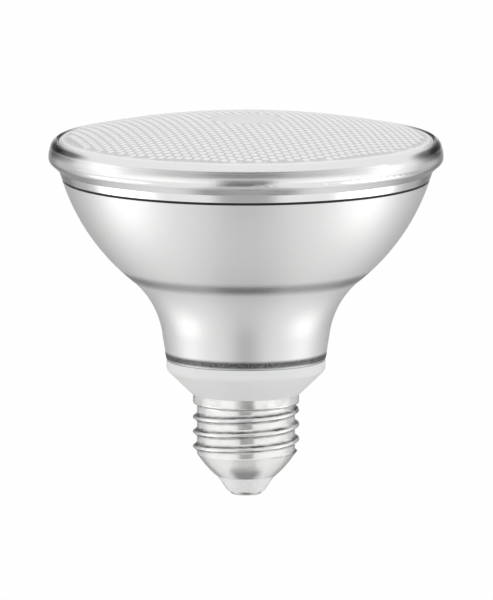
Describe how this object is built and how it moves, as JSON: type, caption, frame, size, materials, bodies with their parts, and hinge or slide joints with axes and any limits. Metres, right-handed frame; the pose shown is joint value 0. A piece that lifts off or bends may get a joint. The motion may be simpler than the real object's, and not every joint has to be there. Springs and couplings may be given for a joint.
{
  "type": "par spotlight bulb",
  "caption": "Par spotlight bulb: flared metal reflector, bright rim ring, patterned clear lens, white collar and a screw cap.",
  "frame": {"origin": "centre of the centre contact's bottom face, on the lamp axis", "axes": "+Z along the lamp axis from the contact to the lens, -Y to the front, +X to the right seen from the front"},
  "size_m": [0.097, 0.097, 0.0932],
  "materials": {
    "contact_metal": "pressed tinned brass, bright",
    "white_insulator": "white moulded insulator, slightly glossy",
    "cap_metal": "rolled nickel-plated sheet, bright",
    "white_plastic": "white moulded plastic, satin",
    "satin_aluminium": "spun and satin anodised",
    "black_rubber": "matt black sealing ring",
    "bright_rim": "polished and plated ring with turning lines",
    "clear_lens": "clear, pressed with small pillow lenses",
    "turned_aluminium": "turned plate",
    "lamp_board_white": "white solder mask on an aluminium board",
    "chip_yellow": "yellow phosphor in a white frame",
    "screw_steel": "zinc-plated steel",
    "driver_board_green": "green circuit board",
    "ferrite": "sintered dark grey ferrite",
    "winding_tape": "yellow insulating tape over the winding",
    "capacitor_sleeve": "shrunk black sleeve",
    "copper_wire": "enamelled copper wire",
    "film_red": "dipped red coat",
    "black_package": "black moulded package",
    "resistor_coat": "green resistor coat",
    "varistor_blue": "dipped blue coat",
    "red_sleeve": "red wire insulation",
    "blue_sleeve": "blue wire insulation",
    "black_sleeve": "black wire insulation"
  },
  "bodies": {
    "root": {"centre_contact": "contact_metal", "cap_insulator": "white_insulator", "screw_shell": "cap_metal", "base_housing": "white_plastic", "reflector_shell": "satin_aluminium", "rim_gasket": "black_rubber", "bezel_ring": "bright_rim", "front_lens": "clear_lens", "heat_sink": "turned_aluminium", "led_board": "lamp_board_white", "led_chips": "chip_yellow", "board_screws": "screw_steel", "driver_board": "driver_board_green", "transformer_core": "ferrite", "transformer_winding": "winding_tape", "input_capacitor": "capacitor_sleeve", "output_capacitor": "capacitor_sleeve", "choke_core": "ferrite", "choke_winding": "copper_wire", "film_capacitor": "film_red", "bridge_rectifier": "black_package", "driver_chip": "black_package", "fuse_resistor": "resistor_coat", "surge_varistor": "varistor_blue", "live_wire": "red_sleeve", "neutral_wire": "blue_sleeve", "led_wire_positive": "red_sleeve", "led_wire_negative": "black_sleeve"}
  },
  "joints": []
}
